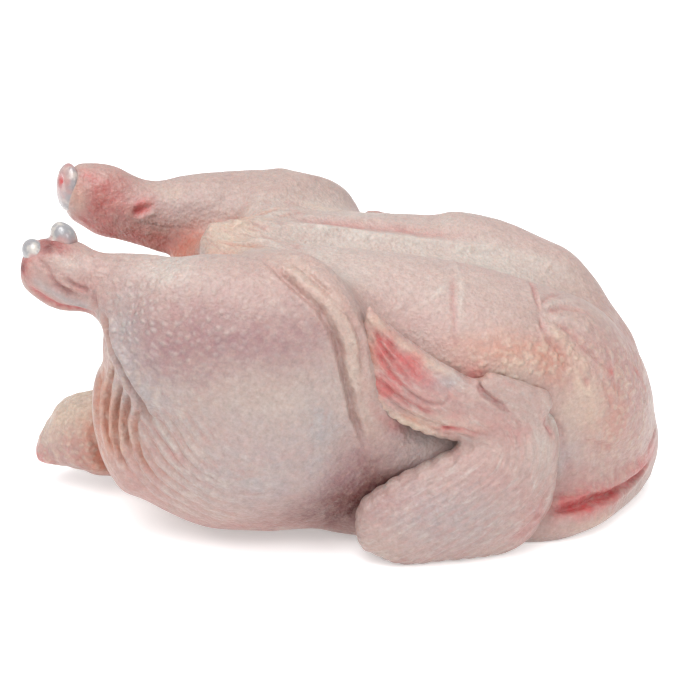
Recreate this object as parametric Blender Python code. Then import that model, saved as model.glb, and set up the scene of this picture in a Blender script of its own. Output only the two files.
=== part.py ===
"""Whole raw chicken, plucked and drawn, lying on its back with its legs free.

+X runs from the tail to the neck, +Z is up from the table and the breast is on top.  The origin is on the
table under the middle of the bird.  The flesh and its skin are one solid: each muscle is a section carried
along its own path, the muscles are fused, and the skin is then stretched over the hollows between them.
The two bare shank joints, where the feet came off, are solids of their own, seated in the drumstick ends.
"""

import bpy
import numpy as np

# ---------------------------------------------------------------- driving sizes, in millimetres
MILLIMETRE = 0.001
FUSE_GRAIN = 2.6             # grain at which the muscles are fused into one flesh
STRETCH_PASSES = 60          # how far the skin is pulled across the hollows
SOFTEN_PASSES = 5            # how far the skin's small ridges are evened out
FLESH_TRIANGLES = 6900       # triangles kept on the flesh
JOINT_TRIANGLES = 460        # triangles kept on each bare joint
SECTION_SIDES = 36           # points round a section
SECTION_STEPS = 8            # sections made between two stations
CAP_RINGS = 6                # sections that round off each end
TABLE_SINK = 1.2             # how far the soft back is pressed flat by its own weight
BIRD_MIDDLE = 2.8            # middle of the bird's length, which goes over the origin

SHANK_ROOT = (-93.0, -51.0, 110.0)    # where the bone's stub ends inside the drumstick
SHANK_END = (-115.0, -49.0, 124.5)    # middle of the joint between its two knuckles
STUB_RADIUS = 4.2            # bare bone under the joint
KNUCKLE_RADIUS = 7.0         # each of the joint's two rounded wheels
KNUCKLE_WIDTH = 5.0          # half the thickness of one wheel
INNER_WHEEL = (-111.5, -46.5, 130.0)  # middle of the wheel nearer the body
OUTER_WHEEL = (-122.0, -51.5, 123.5)  # middle of the wheel at the very end
SEAT_GAP = 0.3               # clearance between the bone and the flesh round it

VENT_MOUTH = (-70.0, 0.0, 74.0)       # middle of the opening into the bird
VENT_END = (-14.0, 0.0, 66.0)         # as far forward as the opening can be seen into
VENT_HALF_WIDTH = 23.0
VENT_HALF_HEIGHT = 17.0

FLESH_COLOUR = (0.62, 0.38, 0.33, 1.0)
KNUCKLE_COLOUR = (0.55, 0.52, 0.53, 1.0)

# ---------------------------------------------------------------- muscles
# Each row is one section: along the bird, out from its middle plane, up from the table, half width and
# half height.  The paired muscles are given for the left side, where "out" is negative.
RIB_CAGE = [
    (-80, 0, 34, 27, 25),
    (-62, 0, 41, 40, 38),
    (-42, 0, 46, 50, 46),
    (-10, 0, 50, 56, 50),
    (25, 0, 51, 61, 52),
    (60, 0, 50, 61, 51),
    (88, 0, 45, 58, 46),
    (105, 0, 38, 52, 38),
    (120, 0, 30, 40, 29),
    (131, 0, 25, 26, 21),
    (138, 0, 22, 12, 13),
]
BREASTBONE = [
    (-58, 0, 113, 5, 11),
    (-30, 0, 107, 7, 15),
    (0, 0, 101, 7, 15),
    (28, 0, 97, 7, 15),
    (60, 0, 91, 7, 14),
    (95, 0, 76, 8, 13),
    (113, 0, 67, 9, 14),
]
TAIL = [
    (-133, 0, 14, 6, 4.5),
    (-124, 0, 20, 14, 11),
    (-112, 0, 24, 18, 17),
    (-98, 0, 26, 21, 20),
    (-80, 0, 32, 28, 27),
    (-64, 0, 38, 36, 32),
]
BREAST = [
    (-54, -12, 108, 8, 9),
    (-44, -15, 104, 13, 14),
    (-32, -20, 99, 19, 21),
    (0, -27, 90, 27, 29),
    (35, -31, 83, 32, 33),
    (66, -32, 76, 33, 34),
    (88, -30, 68, 31, 34),
    (102, -27, 62, 30, 34),
    (112, -25, 56, 28, 33),
    (122, -20, 49, 25, 29),
    (130, -15, 41, 20, 26),
    (136, -9, 34, 12, 17),
]
THIGH = [
    (-94, -43, 48, 12, 17),
    (-77, -49, 46, 22, 30),
    (-54, -54, 48, 32, 41),
    (-26, -55, 51, 34, 45),
    (-6, -56, 52, 28, 44),
    (8, -56, 53, 18, 37),
]
KNEE = [
    (-48, -67, 73, 16, 21),
    (-26, -71, 72, 19, 30),
    (-6, -69, 71, 17, 30),
    (4, -65, 70, 14, 26),
]
GROIN = [
    (-62, -34, 82, 12, 15),
    (-34, -42, 88, 13, 17),
    (-4, -50, 84, 12, 18),
]
DRUMSTICK = [
    (8, -60, 86, 14, 18),
    (-12, -62, 91, 26, 31),
    (-38, -62, 93, 28, 35),
    (-60, -60, 95, 26, 33),
    (-74, -58, 98, 21, 28),
    (-85, -55, 104, 15, 19),
    (-95, -52, 108.5, 11, 12.5),
    (-104, -50, 113, 11, 12.5),
    (-112, -49, 118, 11.5, 13.5),
    (-118, -49, 121.5, 11.5, 14),
]
BELLY_SKIN = [
    (-98, -17, 32, 7, 8),
    (-92, -32, 50, 9, 9),
    (-80, -37, 72, 9, 9),
    (-66, -33, 92, 9, 8),
    (-52, -20, 106, 9, 7),
]
UNDERARM = [
    (-4, -56, 22, 12, 18),
    (22, -60, 26, 12, 24),
    (46, -58, 30, 12, 28),
    (70, -54, 36, 12, 30),
]
FLANK_SKIN = [
    (-16, -44, 106, 10, 7),
    (-4, -54, 98, 10, 8),
    (6, -60, 84, 10, 9),
    (12, -63, 66, 11, 9),
    (16, -64, 48, 12, 9),
    (18, -62, 30, 12, 9),
    (18, -56, 14, 12, 9),
]
NECK_SKIN = [
    (66, -56, 9, 10, 9.5),
    (88, -52, 9, 13, 9.5),
    (100, -43, 9, 14, 9.5),
    (112, -30, 9.5, 13, 10),
    (123, -14, 11, 12, 11.5),
    (129, 0, 12, 12, 12.5),
]
ARM = [
    (13, -84, 19, 10, 13),
    (24, -83, 20.5, 12, 19.5),
    (40, -80, 24, 13.5, 23),
    (52, -77, 26.5, 14, 26),
    (66, -71, 30, 14, 30),
    (78, -65, 33, 13, 33),
    (87, -59, 36, 10, 32),
]
HAND = [
    (85, -62, 52, 8, 18),
    (75, -66, 59, 9, 17),
    (56, -71, 66, 8, 14),
    (40, -72, 71, 7.5, 16.5),
    (24, -72, 80, 6.5, 19.5),
    (14, -72, 90, 5, 19),
    (10, -71.5, 96, 4.2, 14),
]
ALONG = (1.0, 0.0, 0.0)
UPWARD = (0.0, 0.0, 1.0)
OUTWARD = (0.0, -1.0, 0.0)


# ---------------------------------------------------------------- shapes
def unit(vectors):
    return vectors / np.linalg.norm(vectors, axis=-1, keepdims=True)


def eased(stations, steps):
    """A smooth curve through every station, with so many sections from each one to the next."""
    rows = np.asarray(stations, float)
    rows = np.vstack([2 * rows[0] - rows[1], rows, 2 * rows[-1] - rows[-2]])
    t = np.linspace(0, 1, steps, endpoint=False)[:, None]
    spans = []
    for before, start, end, after in zip(rows, rows[1:], rows[2:], rows[3:]):
        bend = 2 * before - 5 * start + 4 * end - after
        twist = -before + 3 * start - 3 * end + after
        spans.append(start + 0.5 * ((end - before) * t + bend * t**2 + twist * t**3))
    return np.vstack(spans + [rows[-2:-1]])


def muscle(stations, ends, facing=None, up=UPWARD, sides=SECTION_SIDES, steps=SECTION_STEPS):
    """An ellipse carried along the stations and rounded off by `ends` at its start and its end.

    The sections stand across the path, or all face one way when `facing` is given."""
    rows = eased(stations, steps)
    middle, sizes = rows[:, :3], rows[:, 3:]
    tangent = unit(np.gradient(middle, axis=0))
    turn = np.linspace(0, np.pi / 2, CAP_RINGS + 1)[1:, None]
    shrink = np.maximum(np.cos(turn), 0.02)
    first = middle[0] - tangent[0] * ends[0] * np.sin(turn)
    last = middle[-1] + tangent[-1] * ends[1] * np.sin(turn)
    middle = np.vstack([first[::-1], middle, last])
    sizes = np.vstack([(sizes[0] * shrink)[::-1], sizes, sizes[-1] * shrink])
    tangent = np.pad(tangent, ((CAP_RINGS, CAP_RINGS), (0, 0)), mode="edge")
    if facing is not None:
        tangent = np.broadcast_to(np.asarray(facing), tangent.shape)
    side = unit(np.cross(up, tangent))
    rise = np.cross(tangent, side)
    angle = np.linspace(0, 2 * np.pi, sides, endpoint=False)[None, :, None]
    ring = side[:, None] * sizes[:, None, :1] * np.cos(angle) + rise[:, None] * sizes[:, None, 1:] * np.sin(angle)
    return tube(middle[:, None] + ring)


def tube(rings):
    """(points, faces) of closed rings joined one to the next, with both ends filled."""
    count, sides = rings.shape[:2]
    start = np.arange(count - 1)[:, None] * sides
    here = np.arange(sides)[None]
    after = (here + 1) % sides
    walls = np.stack([start + here, start + after, start + sides + after, start + sides + here], -1)
    floor = list(range(sides))[::-1]
    lid = list(range((count - 1) * sides, count * sides))
    return rings.reshape(-1, 3), walls.reshape(-1, 4).tolist() + [floor, lid]


def mirrored(shape):
    points, faces = shape
    return points * (1, -1, 1), [face[::-1] for face in faces]


def joined(shapes):
    points, faces, count = [], [], 0
    for some, their in shapes:
        points.append(some)
        faces += [[index + count for index in face] for face in their]
        count += len(some)
    return np.vstack(points), faces


def ball(middle, reach, lengthwise, rings=14, sides=24):
    """A rounded body about `middle`: `reach` is its half sizes along `lengthwise` and the two ways across it."""
    axis = unit(np.asarray(lengthwise, float))
    side = unit(np.cross(UPWARD, axis))
    rise = np.cross(axis, side)
    down = np.linspace(0, np.pi, rings)[:, None, None]
    round_it = np.linspace(0, 2 * np.pi, sides, endpoint=False)[None, :, None]
    across = np.maximum(np.sin(down), 0.01)
    points = (
        -axis * reach[0] * np.cos(down)
        + side * reach[1] * across * np.cos(round_it)
        + rise * reach[2] * across * np.sin(round_it)
    )
    return tube(np.asarray(middle) + points)


# ---------------------------------------------------------------- Blender objects
def mesh_object(name, shape):
    points, faces = shape
    mesh = bpy.data.meshes.new(name)
    mesh.from_pydata(((points - (BIRD_MIDDLE, 0, 0)) * MILLIMETRE).tolist(), [], faces)
    mesh.update()
    made = bpy.data.objects.new(name, mesh)
    bpy.context.scene.collection.objects.link(made)
    return made


def applied(thing):
    """The thing's mesh with its modifiers worked out, in place of the mesh it had."""
    graph = bpy.context.evaluated_depsgraph_get()
    mesh = bpy.data.meshes.new_from_object(thing.evaluated_get(graph))
    thing.modifiers.clear()
    thing.data = mesh
    return thing


def fused(thing, grain):
    remesh = thing.modifiers.new("fuse", "REMESH")
    remesh.mode = "VOXEL"
    remesh.voxel_size = grain * MILLIMETRE
    return applied(thing)


def lightened(thing, triangles):
    """Fewer faces on the flatter skin, evenly on both sides of the bird."""
    split = thing.modifiers.new("split", "TRIANGULATE")
    split.quad_method = "SHORTEST_DIAGONAL"
    applied(thing)
    fewer = thing.modifiers.new("fewer", "DECIMATE")
    fewer.ratio = triangles / len(thing.data.polygons)
    return applied(thing)


def vertex_normals(mesh):
    mesh.update()
    found = np.empty(len(mesh.vertices) * 3, np.float32)
    mesh.vertex_normals.foreach_get("vector", found)
    return found.reshape(-1, 3).astype(float)


def stretch_skin(thing, passes):
    """Pull the skin out across every hollow: a point only moves out, toward the middle of its neighbours."""
    mesh = thing.data
    count = len(mesh.vertices)
    points = np.empty(count * 3, np.float32)
    mesh.vertices.foreach_get("co", points)
    points = points.reshape(-1, 3).astype(float)
    edges = np.empty(len(mesh.edges) * 2, np.int32)
    mesh.edges.foreach_get("vertices", edges)
    start, end = edges.reshape(-1, 2).T
    share = np.bincount(edges, minlength=count)[:, None]
    for turn in range(passes):
        if turn % 8 == 0:
            outward = vertex_normals(mesh)
        pulled = [
            np.bincount(start, points[end, axis], count) + np.bincount(end, points[start, axis], count)
            for axis in range(3)
        ]
        step = np.stack(pulled, -1) / share - points
        lift = (step * outward).sum(-1, keepdims=True)
        points += 0.8 * np.maximum(lift, 0) * outward + 0.3 * (step - lift * outward)
        mesh.vertices.foreach_set("co", points.astype(np.float32).ravel())
    mesh.update()
    soften = thing.modifiers.new("soften", "SMOOTH")
    soften.factor = 0.5
    soften.iterations = SOFTEN_PASSES
    applied(thing)


def cutter(name, shape):
    made = mesh_object(name, shape)
    made.hide_render = True
    made.display_type = "WIRE"
    return made


def cut(thing, tool):
    difference = thing.modifiers.new(tool.name, "BOOLEAN")
    difference.operation = "DIFFERENCE"
    difference.solver = "EXACT"
    difference.object = tool


def finish(name, colour, roughness):
    material = bpy.data.materials.new(name)
    material.use_nodes = True
    shader = material.node_tree.nodes["Principled BSDF"]
    shader.inputs["Base Color"].default_value = colour
    shader.inputs["Roughness"].default_value = roughness
    return material


# ---------------------------------------------------------------- the bird
def flesh_shapes():
    middle = [
        muscle(RIB_CAGE, (8, 4), facing=ALONG),
        muscle(BREASTBONE, (3, 4)),
        muscle(TAIL, (3, 5)),
    ]
    paired = [
        muscle(BREAST, (5, 3), facing=ALONG),
        muscle(THIGH, (8, 6), facing=ALONG),
        muscle(KNEE, (10, 8)),
        muscle(GROIN, (6, 6)),
        muscle(DRUMSTICK, (8, 6)),
        muscle(BELLY_SKIN, (5, 4)),
        muscle(UNDERARM, (6, 6), facing=ALONG),
        muscle(FLANK_SKIN, (4, 4), up=OUTWARD),
        muscle(NECK_SKIN, (6, 6)),
        muscle(ARM, (7, 4), facing=ALONG),
        muscle(HAND, (3, 2.5), facing=ALONG),
    ]
    return middle + paired + [mirrored(shape) for shape in paired]


def shank_joint():
    """The stub of bone, the joint's saddle and its two wheels."""
    root, end = np.array(SHANK_ROOT), np.array(SHANK_END)
    axle = np.subtract(OUTER_WHEEL, INNER_WHEEL)
    stub = muscle(
        [
            (*root, STUB_RADIUS, STUB_RADIUS),
            (*(0.5 * (root + end)), STUB_RADIUS, STUB_RADIUS),
            (*end, STUB_RADIUS + 1.5, STUB_RADIUS + 1.5),
        ],
        (1.5, 2.0),
    )
    wheel = (KNUCKLE_WIDTH, KNUCKLE_RADIUS, KNUCKLE_RADIUS)
    saddle = ball(end + (-1.0, 0.0, 1.0), (7.0, 5.6, 5.6), axle)
    return joined([stub, saddle, ball(INNER_WHEEL, wheel, axle), ball(OUTER_WHEEL, wheel, axle)])


def shank_seat():
    """The hollow in the drumstick's end: close round the stub, opening to a cup behind the joint."""
    root, end = np.array(SHANK_ROOT), np.array(SHANK_END)
    along = unit(end - root)
    close = STUB_RADIUS + SEAT_GAP
    rows = ((-SEAT_GAP, close), (14, close), (19, 8.5), (22, 12.5), (34, 15.5))
    lean = np.array((0.6, 0.1, 1.0)) * 0.16
    return muscle(
        [(*(root + along * far + lean * max(far - 14, 0)), wide, wide) for far, wide in rows],
        (1.5, 2.0),
        sides=20,
        steps=3,
    )


def make_joint(name, shape, colour):
    joint = fused(mesh_object(name, shape), 0.9)
    lightened(joint, JOINT_TRIANGLES)
    joint.data.materials.append(colour)
    return joint


def main():
    for thing in list(bpy.data.objects):
        bpy.data.objects.remove(thing)

    points, faces = joined(flesh_shapes())
    flesh = fused(mesh_object("chicken", (points - (0, 0, TABLE_SINK), faces)), FUSE_GRAIN)
    stretch_skin(flesh, STRETCH_PASSES)
    lightened(flesh, FLESH_TRIANGLES)
    flesh.data.materials.append(finish("skin", FLESH_COLOUR, 0.42))

    table = np.array([(x, y, z) for x in (-200, 200) for y in (-150, 150) for z in (-60, 0)], float)
    sides = [[0, 1, 3, 2], [4, 6, 7, 5], [0, 4, 5, 1], [2, 3, 7, 6], [0, 2, 6, 4], [1, 5, 7, 3]]
    cut(flesh, cutter("table_cutter", (table, sides)))
    vent = muscle(
        [
            (*VENT_MOUTH, VENT_HALF_WIDTH, VENT_HALF_HEIGHT),
            (*VENT_END, VENT_HALF_WIDTH, VENT_HALF_HEIGHT),
        ],
        (30, 10),
        sides=24,
    )
    cut(flesh, cutter("vent_cutter", vent))

    bone = finish("knuckle", KNUCKLE_COLOUR, 0.3)
    for side, turn in (("left", lambda shape: shape), ("right", mirrored)):
        make_joint(f"{side}_knuckle", turn(shank_joint()), bone)
        cut(flesh, cutter(f"{side}_seat_cutter", turn(shank_seat())))


main()
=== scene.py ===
"""Whole raw chicken: its skin, folded wings, bared hocks and joint ends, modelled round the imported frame."""

import math

import bpy
import numpy as np
from bpy.props import FloatProperty, FloatVectorProperty, PointerProperty
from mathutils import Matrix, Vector


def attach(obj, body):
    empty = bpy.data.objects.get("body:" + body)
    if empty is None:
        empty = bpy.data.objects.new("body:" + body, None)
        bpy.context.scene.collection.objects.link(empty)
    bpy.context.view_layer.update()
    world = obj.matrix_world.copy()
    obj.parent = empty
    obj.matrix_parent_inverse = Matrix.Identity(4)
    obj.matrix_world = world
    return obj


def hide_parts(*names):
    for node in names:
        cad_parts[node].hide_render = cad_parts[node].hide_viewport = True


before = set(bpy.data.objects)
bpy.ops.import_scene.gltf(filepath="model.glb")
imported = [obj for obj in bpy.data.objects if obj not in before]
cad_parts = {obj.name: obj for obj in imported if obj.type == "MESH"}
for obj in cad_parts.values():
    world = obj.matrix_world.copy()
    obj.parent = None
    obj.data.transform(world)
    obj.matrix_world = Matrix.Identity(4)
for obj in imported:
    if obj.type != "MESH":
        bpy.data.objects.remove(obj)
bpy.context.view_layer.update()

bl_info = {
    "name": "Raw Chicken",
    "version": (1, 0, 0),
    "blender": (4, 5, 0),
    "location": "3D View > Sidebar > Chicken",
    "description": "Models the skin, wings and joint ends of a whole raw chicken",
    "category": "Add Mesh",
}

# ---------------------------------------------------------------- the bird's build, in millimetres
# The bird lies on its back, tail toward -X and neck toward +X.  Each row is one section of a muscle or a
# fold of skin: along the bird, out from its middle plane, up from the table, half width, half height.
# Paired parts are given for the left side, where "out" is negative.
MILLIMETRE = 0.001
TABLE_SINK = 1.2
BIRD_MIDDLE = 2.8
ALONG = (1.0, 0.0, 0.0)
UPWARD = (0.0, 0.0, 1.0)
OUTWARD = (0.0, -1.0, 0.0)

FRAME_GRAIN = 2.6
ROUGH_WING_GRAIN = 1.4
STRETCH_PASSES = 60
SOFTEN_PASSES = 5
MOST_TRIANGLES = 196_000

RIB_CAGE = [
    (-80, 0, 34, 27, 25),
    (-62, 0, 41, 40, 38),
    (-42, 0, 46, 50, 46),
    (-10, 0, 50, 56, 50),
    (25, 0, 51, 61, 52),
    (60, 0, 50, 61, 51),
    (88, 0, 45, 58, 46),
    (105, 0, 38, 52, 38),
    (120, 0, 30, 40, 29),
    (131, 0, 25, 26, 21),
    (138, 0, 22, 12, 13),
]
BREASTBONE = [
    (-58, 0, 113, 5, 11),
    (-30, 5, 107, 7, 15),
    (0, 7, 101, 7, 15),
    (28, 8, 97, 7, 15),
    (60, 10, 92, 7, 14.5),
    (82, 12, 85, 7, 14.5),
    (98, 11, 77, 8, 13.5),
    (113, 6, 67, 9, 14),
]
TAIL = [
    (-134, 0, 13.5, 6, 4.5),
    (-125, 0, 20, 14, 12),
    (-113, 0, 25, 19, 18.5),
    (-98, 0, 26, 21, 20),
    (-80, 0, 32, 28, 27),
    (-64, 0, 38, 36, 32),
]
BREAST = [
    (-54, -12, 108, 8, 9),
    (-44, -15, 104, 13, 14),
    (-32, -20, 99, 19, 21),
    (0, -27, 90, 27, 29),
    (35, -31, 83, 32, 33),
    (66, -32, 76, 33, 34),
    (88, -30, 68, 31, 34),
    (102, -27, 62, 30, 34),
    (112, -25, 56, 28, 33),
    (122, -20, 49, 25, 29),
    (130, -15, 41, 20, 26),
    (136, -9, 34, 12, 17),
]
THIGH = [
    (-94, -43, 48, 12, 17),
    (-77, -49, 46, 22, 30),
    (-54, -54, 48, 32, 41),
    (-26, -55, 51, 34, 45),
    (-6, -56, 52, 28, 44),
    (8, -56, 53, 18, 37),
]
KNEE = [
    (-48, -67, 73, 16, 21),
    (-26, -71, 72, 19, 30),
    (-6, -69, 71, 17, 30),
    (4, -65, 70, 14, 26),
]
GROIN = [
    (-62, -34, 82, 12, 15),
    (-34, -42, 88, 13, 17),
    (-4, -50, 84, 12, 18),
]
LEFT_DRUMSTICK = [
    (8, -60, 86, 14, 18),
    (-12, -62, 91, 26, 31),
    (-38, -62, 92, 28, 35),
    (-56, -61, 93, 27, 34),
    (-67, -60, 95.5, 25, 34.5),
    (-78.5, -56, 102, 20, 28.5),
    (-86.5, -54, 108.5, 16, 21),
    (-93.5, -52, 112, 12, 14),
    (-99, -51, 111.5, 11, 11),
    (-108, -50, 114.5, 12.5, 15),
    (-117, -50, 118, 12.5, 14),
    (-124, -50, 120, 11, 11.5),
]
RIGHT_DRUMSTICK = [
    (8, -60, 86, 14, 18),
    (-12, -62, 92, 26, 30),
    (-38, -62, 98, 27, 33),
    (-48, -59, 104, 25, 27),
    (-63, -54, 110, 20, 20),
    (-79, -52, 110.5, 16, 16.5),
    (-88, -50, 112.5, 14, 14.5),
    (-97, -50, 115, 14, 15),
    (-106, -50, 118.5, 14.5, 16.5),
    (-115, -50, 121, 13.5, 15),
    (-121.5, -50, 122, 12, 13.5),
]
REAR_FOLD = [
    (-83, -60, 86, 6, 6),
    (-87, -55, 77, 8, 9),
    (-91, -52, 68, 10, 11),
    (-91, -51, 56, 11, 12),
    (-88, -52, 43, 12, 12),
    (-80, -54, 31, 12, 12),
]
BELLY_SKIN = [
    (-98, -17, 32, 7, 8),
    (-92, -32, 50, 9, 9),
    (-80, -37, 72, 9, 9),
    (-66, -33, 92, 9, 8),
    (-52, -20, 106, 9, 7),
]
# The right breast stands a little fuller than the left.
FAR_BREAST = [
    (50, -32, 84, 30, 34),
    (70, -32, 79, 32, 35),
    (90, -30, 71, 30, 35.5),
    (104, -28, 65, 28, 34.5),
    (116, -24, 56, 25, 31),
]
UNDERARM = [
    (-4, -56, 22, 12, 18),
    (22, -60, 26, 12, 24),
    (46, -58, 30, 12, 28),
    (70, -54, 36, 12, 30),
]
FLANK_SKIN = [
    (-38, -34, 114, 8, 7),
    (-26, -50, 118, 9, 7.5),
    (-14, -62, 119, 9, 8),
    (-4, -71, 112, 9, 9),
    (2, -75, 100, 9, 9),
    (6, -74, 84, 9, 9),
    (12, -69, 66, 10, 9),
    (16, -66, 48, 12, 9),
    (18, -62, 30, 12, 9),
    (18, -56, 14, 12, 9),
]
NECK_SKIN = [
    (66, -56, 9, 10, 9.5),
    (88, -52, 9, 13, 9.5),
    (100, -43, 9, 14, 9.5),
    (112, -30, 9.5, 13, 10),
    (123, -14, 11, 12, 11.5),
    (129, 0, 12, 12, 12.5),
]
VENT = [
    (-70, 0, 74, 23, 17),
    (-14, 0, 66, 23, 17),
]
ARM = [
    (13, -79, 19, 10, 13),
    (24, -79, 20.5, 12, 19.5),
    (40, -77, 24, 13.5, 23),
    (52, -75, 27, 14, 26),
    (66, -71, 30, 14, 29),
    (77, -67, 34, 13.5, 29),
    (86.5, -62, 38, 10, 21),
]
LEFT_HAND = [
    (83, -63, 51, 8, 14),
    (75, -67, 57, 9, 16),
    (56, -73, 65, 8, 13.5),
    (40, -75, 71, 7, 16.5),
    (24, -76, 80.5, 5.5, 19.5),
    (14, -77, 90.5, 4.2, 19.5),
    (10.5, -77, 97.5, 3.2, 15.5),
]
RIGHT_HAND = [
    (84, -62, 54, 8, 15),
    (75, -67, 62, 9, 16),
    (56, -73, 75, 8, 14),
    (40, -75, 85, 7, 16),
    (24, -76, 90, 5.5, 14.5),
    (15, -77, 96, 4.2, 10.5),
    (11.5, -77, 98, 3.2, 7.5),
]
THUMB = [
    (82, -67, 66, 6, 6),
    (70, -73, 73, 5, 5.5),
    (59, -77, 80, 3.8, 4.2),
]
# Seen from the side: the bones that a wing's wrinkles follow, and its scalloped rims.
ARM_BONE = [(8, 0, 22), (56, 0, 51)]
HAND_BONE = [(8, 0, 112), (22, 0, 99), (50, 0, 78), (64, 0, 70)]
HAND_RIM = [(8, 0, 108), (9, 0, 84), (18, 0, 68), (36, 0, 57), (55, 0, 52)]
ARM_RIM = [(12, 0, 31), (30, 0, 43), (54, 0, 51)]
SCALLOP = 3.6

# The joint ends: the bone and its two wheels on the left, and the one oval plate with a pit on the right.
SHANK_ROOT = (-93.0, -51.0, 110.0)
SHANK_END = (-115.0, -49.0, 124.5)
INNER_WHEEL = (-111.5, -46.5, 130.0)
OUTER_WHEEL = (-122.5, -51.5, 124.5)
WHEEL_REACH = (5.0, 7.0, 7.0)
PLATE = (-122.3, -46.5, 125.5)
PLATE_REACH = (4.5, 8.5, 11.0)
PLATE_FACING = (-0.85, 0.5, 0.12)
PLATE_PIT = (-126.0, 43.5, 129.5)

# ---------------------------------------------------------------- lines and stains in the skin
# A line is: its path, half width, height (below nothing for a crease), the stain it carries and how much.
BREAST_LINES = [
    ([(48, -14, 112), (48, -35, 114), (50, -47, 110), (49, -55, 104), (48, -62, 94)], 1.0, 0.7, "pale", 0.7),
    ([(46, -40, 113), (46, -52, 107), (46, -61, 96), (48, -64, 84)], 0.8, -0.6, "rose", 0.6),
    ([(48, -41, 112), (38, -53, 107), (30, -56, 102)], 1.0, 0.7, "pale", 0.5),
    ([(59, -27, 111), (54, -45, 110)], 0.9, 0.5, "pale", 0.4),
    ([(79, -24, 106), (80, -35, 104), (80, -44, 101), (81, -49, 97)], 1.0, -1.1, "rose", 0.9),
    ([(81, -47, 98), (83, -56, 92), (87, -56, 87), (90, -57, 81), (94, -57, 72)], 1.1, -1.3, "rose", 0.9),
    ([(82, -45, 100), (87, -37, 102), (94, -26, 100)], 1.0, -0.8, "rose", 0.5),
    ([(82, -47, 99), (91, -38, 100), (99, -30, 98)], 1.3, 0.8, "pale", 0.5),
    ([(83, -48, 99), (91, -42, 98), (100, -37, 94), (108, -36, 88)], 1.0, -0.8, "rose", 0.6),
    ([(84, -50, 97), (94, -46, 94), (105, -44, 86)], 1.3, 0.7, "pale", 0.4),
    ([(86, -50, 96), (94, -50, 90), (101, -51, 83), (106, -50, 78), (111, -50, 73)], 0.9, -1.1, "rose", 0.9),
    ([(83, -50, 96), (92, -55, 87), (98, -55, 80), (103, -54, 75)], 2.3, 1.4, "fat", 0.6),
    ([(91, -58, 83), (96, -59, 75), (98, -60, 65)], 2.0, 1.3, "fat", 0.8),
    ([(94, -57, 83), (99, -57, 76), (102, -58, 68)], 0.9, -1.1, "blood", 0.5),
    ([(100, -57, 72), (104, -57, 62), (104, -57, 52)], 2.0, 1.1, "fat", 0.7),
    ([(88, -59, 82), (91, -61, 74), (92, -62, 65), (90, -63, 56)], 0.9, -0.9, "fold", 0.6),
    ([(106, -54, 72), (110, -52, 64), (112, -51, 56)], 1.0, -0.9, "rose", 0.7),
    ([(111, -50, 70), (117, -46, 58), (120, -43, 46)], 1.1, -0.8, "fold", 0.5),
    ([(114, -46, 74), (119, -42, 64), (122, -40, 54)], 1.6, 0.9, "fat", 0.5),
    ([(122, -34, 72), (128, -30, 58), (131, -28, 44)], 1.1, -0.8, "blood", 0.4),
    ([(118, -40, 60), (124, -36, 50), (127, -34, 40)], 1.7, 0.9, "pale", 0.5),
    ([(100, -56, 46), (108, -52, 42), (116, -45, 38)], 1.1, -0.8, "rose", 0.6),
]
KEEL_LINES = [
    ([(-36, 3, 122), (-4, 8, 117), (17, 8, 114), (39, 9, 111), (61, 11, 107), (82, 14, 101), (97, 13, 94),
      (114, 8, 83)], 2.2, 1.5, "pale", 0.9),
    ([(-30, 14, 119), (-4, 17, 116), (39, 18, 110), (61, 20, 106), (82, 23, 100), (97, 22, 93),
      (113, 17, 82)],
     3.2, -2.0, "rose", 0.9),
    ([(-45, 41, 115), (-18, 43, 116), (13, 33, 117)], 2.0, 0.9, "fat", 0.5),
]
APRON_LINES = [
    ([(-54, -9, 117), (-45, -16, 118), (-34, -24, 118), (-24, -34, 117),
      (-14, -44, 116)], 1.2, -1.3, "fold", 0.6),
    ([(-50, 0, 121), (-38, -9, 120), (-25, -20, 118), (-10, -34, 117)], 1.2, -1.2, "fold", 0.4),
    ([(-46, 8, 122), (-33, 0, 121), (-18, -10, 120)], 1.1, -0.8, "rose", 0.4),
    ([(-53, -13, 115), (-42, -20, 116), (-32, -28, 117), (-22, -40, 117)], 1.5, 1.3, "fat", 0.6),
    ([(-53, -3, 120), (-43, -11, 120), (-31, -20, 119), (-18, -33, 118)], 1.5, 1.2, "pale", 0.6),
    ([(-50, 6, 122), (-38, -3, 121), (-26, -13, 120)], 1.3, 1.0, "fat", 0.5),
    ([(-56, -10, 112), (-50, -18, 111), (-42, -27, 111), (-32, -38, 112),
      (-20, -48, 114)], 2.4, -1.6, "fold", 1.0),
    ([(-54, -14, 110), (-46, -24, 109), (-36, -34, 110), (-26, -44, 111)], 2.0, -0.8, "blood", 0.6),
]
# The line where the wing's arm lies on the body; the band and line drawn along it are painted contact shade.
ARM_CONTACT = [(2, -70, 16), (12, -71, 26), (24, -73, 36), (37, -72, 43), (52, -69, 51)]
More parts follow.
